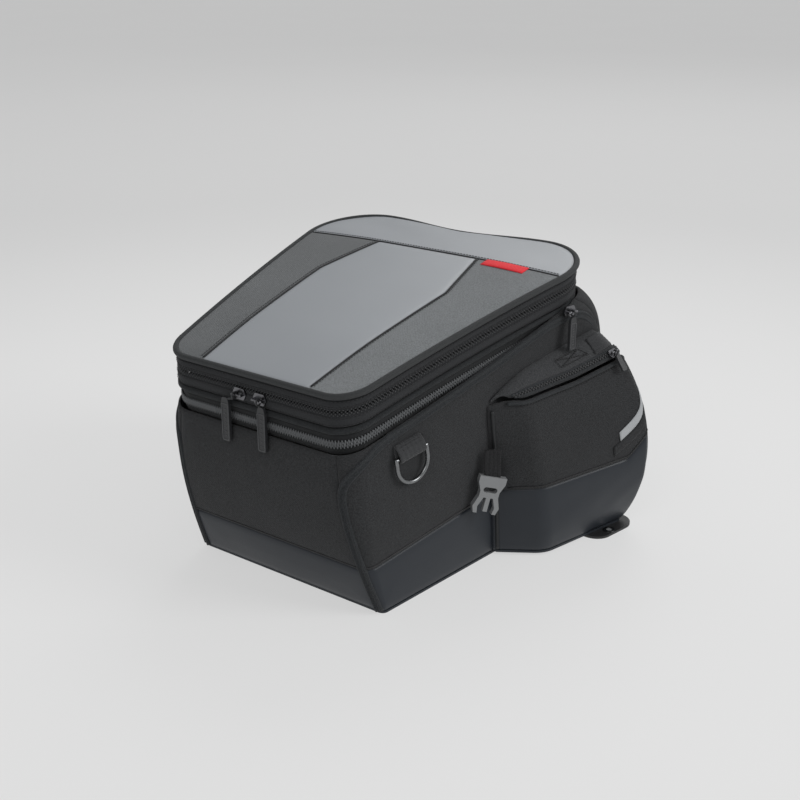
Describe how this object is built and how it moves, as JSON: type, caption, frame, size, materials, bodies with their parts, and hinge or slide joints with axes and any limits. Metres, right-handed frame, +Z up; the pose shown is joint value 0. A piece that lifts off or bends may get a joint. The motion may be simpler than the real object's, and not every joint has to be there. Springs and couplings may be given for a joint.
{
  "type": "motorcycle tail bag",
  "caption": "Wedge-shaped expandable tail bag with a zipped lid, two zipped side pockets, D-rings and mounting tabs.",
  "frame": {"origin": "on the ground under the middle of the whole bag", "axes": "+Z up, -Y is the near end with the two lid zipper pulls, +X is the bag's right side with the expansion zipper pull"},
  "size_m": [0.4146, 0.3416, 0.2711],
  "materials": {
    "body_fabric": "matt woven",
    "body_coated": "satin coated",
    "lid_coated": "satin coated",
    "lid_fabric": "matt woven",
    "piping": "satin",
    "tape": "matt",
    "webbing": "ribbed",
    "board": "matt",
    "zip_metal": "gunmetal",
    "ring_metal": "satin",
    "pull_rubber": "moulded",
    "buckle_plastic": "satin",
    "reflective": "retroreflective",
    "tag_cloth": "woven",
    "tab_rubber": "matt"
  },
  "bodies": {
    "bag_body": {"base_panel": "body_coated", "base_board": "board", "near_end_panel": "body_fabric", "near_end_skirt": "body_coated", "far_end_panel": "body_fabric", "far_end_skirt": "body_coated", "side_panel_right": "body_fabric", "side_panel_left": "body_fabric", "side_skirt_right": "body_coated", "side_skirt_left": "body_coated", "side_piping_right": "piping", "side_piping_left": "piping", "top_gusset": "body_fabric", "expansion_tape_lower": "tape", "d_ring_loop_right": "webbing", "d_ring_loop_left": "webbing", "carry_handle": "webbing", "pocket_wall_right": "body_fabric", "pocket_wall_left": "body_fabric", "pocket_skirt_right": "body_coated", "pocket_skirt_left": "body_coated", "pocket_piping_right": "piping", "pocket_piping_left": "piping", "reflector_right": "reflective", "reflector_left": "reflective", "mount_tab_right": "tab_rubber", "mount_tab_left": "tab_rubber", "tab_eyelet_right": "ring_metal", "tab_eyelet_left": "ring_metal"},
    "collar": {"collar_band": "body_fabric", "collar_ridge": "piping", "expansion_tape_upper": "tape", "expansion_sleeve": "tape"},
    "lid": {"lid_board": "board", "lid_centre_panel": "lid_coated", "lid_side_panel_right": "lid_fabric", "lid_side_panel_left": "lid_fabric", "lid_rear_panel": "lid_coated", "lid_piping": "piping", "lid_band": "body_fabric", "woven_tag": "tag_cloth"},
    "main_slider_right": {"main_slider_right": "zip_metal"},
    "main_pull_right": {"main_pull_right": "pull_rubber"},
    "main_slider_left": {"main_slider_left": "zip_metal"},
    "main_pull_left": {"main_pull_left": "pull_rubber"},
    "expansion_slider": {"expansion_slider": "zip_metal"},
    "expansion_pull": {"expansion_pull": "pull_rubber"},
    "d_ring_right": {"d_ring_right": "ring_metal"},
    "pocket_flap_right": {"pocket_flap_right": "body_fabric"},
    "pocket_slider_right": {"pocket_slider_right": "zip_metal"},
    "pocket_pull_right": {"pocket_pull_right": "pull_rubber"},
    "buckle_right": {"buckle_strap_right": "webbing", "buckle_plug_right": "buckle_plastic"},
    "d_ring_left": {"d_ring_left": "ring_metal"},
    "pocket_flap_left": {"pocket_flap_left": "body_fabric"},
    "pocket_slider_left": {"pocket_slider_left": "zip_metal"},
    "pocket_pull_left": {"pocket_pull_left": "pull_rubber"},
    "buckle_left": {"buckle_strap_left": "webbing", "buckle_plug_left": "buckle_plastic"}
  },
  "joints": [
    {"name": "collar_lift", "type": "slide", "parent": "bag_body", "child": "collar", "axis": [0, 0, 1], "range_m": [0, 0.04]},
    {"name": "lid_hinge", "type": "hinge", "parent": "collar", "child": "lid", "pos_m": [0, 0.1413, 0.25441], "axis": [-1, 0, 0], "range_deg": [0, 105]},
    {"name": "main_slider_slide_right", "type": "slide", "parent": "collar", "child": "main_slider_right", "axis": [1, 0, 0], "range_m": [0, 0.055]},
    {"name": "main_pull_swing_right", "type": "hinge", "parent": "main_slider_right", "child": "main_pull_right", "pos_m": [0.009, -0.1674, 0.183], "axis": [-1, 0, 0], "range_deg": [0, 120]},
    {"name": "main_slider_slide_left", "type": "slide", "parent": "collar", "child": "main_slider_left", "axis": [-1, 0, 0], "range_m": [0, 0.055]},
    {"name": "main_pull_swing_left", "type": "hinge", "parent": "main_slider_left", "child": "main_pull_left", "pos_m": [-0.014, -0.1674, 0.183], "axis": [-1, 0, 0], "range_deg": [0, 120]},
    {"name": "expansion_slider_slide", "type": "slide", "parent": "bag_body", "child": "expansion_slider", "axis": [-0.1895, -0.9635, -0.1892], "range_m": [0, 0.08]},
    {"name": "expansion_pull_swing", "type": "hinge", "parent": "expansion_slider", "child": "expansion_pull", "pos_m": [0.1582, 0.07964, 0.22775], "axis": [-0.193, -0.9812, 0], "range_deg": [0, 90]},
    {"name": "d_ring_swing_right", "type": "hinge", "parent": "bag_body", "child": "d_ring_right", "pos_m": [0.11908, -0.1032, 0.14431], "axis": [-0.1778, -0.9686, -0.1736], "range_deg": [0, 140]},
    {"name": "d_ring_swing_left", "type": "hinge", "parent": "bag_body", "child": "d_ring_left", "pos_m": [-0.11908, -0.1032, 0.14431], "axis": [-0.1778, 0.9686, 0.1736], "range_deg": [0, 140]},
    {"name": "pocket_flap_lift_right", "type": "hinge", "parent": "bag_body", "child": "pocket_flap_right", "pos_m": [0.14667, 0.0718, 0.19164], "axis": [-0.1648, -0.9673, -0.1926], "range_deg": [0, 19]},
    {"name": "pocket_flap_lift_left", "type": "hinge", "parent": "bag_body", "child": "pocket_flap_left", "pos_m": [-0.14667, 0.0718, 0.19164], "axis": [-0.1648, 0.9673, 0.1926], "range_deg": [0, 19]},
    {"name": "pocket_slider_slide_right", "type": "slide", "parent": "pocket_flap_right", "child": "pocket_slider_right", "axis": [-0.1486, -0.9733, -0.1752], "range_m": [0, 0.06]},
    {"name": "pocket_pull_swing_right", "type": "hinge", "parent": "pocket_slider_right", "child": "pocket_pull_right", "pos_m": [0.18123, 0.1194, 0.18631], "axis": [-0.1486, -0.9733, -0.1752], "range_deg": [0, 90]},
    {"name": "pocket_slider_slide_left", "type": "slide", "parent": "pocket_flap_left", "child": "pocket_slider_left", "axis": [0.1486, -0.9733, -0.1752], "range_m": [0, 0.06]},
    {"name": "pocket_pull_swing_left", "type": "hinge", "parent": "pocket_slider_left", "child": "pocket_pull_left", "pos_m": [-0.18123, 0.1194, 0.18631], "axis": [-0.1486, 0.9733, 0.1752], "range_deg": [0, 90]},
    {"name": "buckle_swing_right", "type": "hinge", "parent": "bag_body", "child": "buckle_right", "pos_m": [0.13677, -0.00933, 0.1198], "axis": [-0.6428, -0.766, 0], "range_deg": [0, 60]},
    {"name": "buckle_swing_left", "type": "hinge", "parent": "bag_body", "child": "buckle_left", "pos_m": [-0.13677, -0.00933, 0.1198], "axis": [-0.6428, 0.766, 0], "range_deg": [0, 60]}
  ]
}
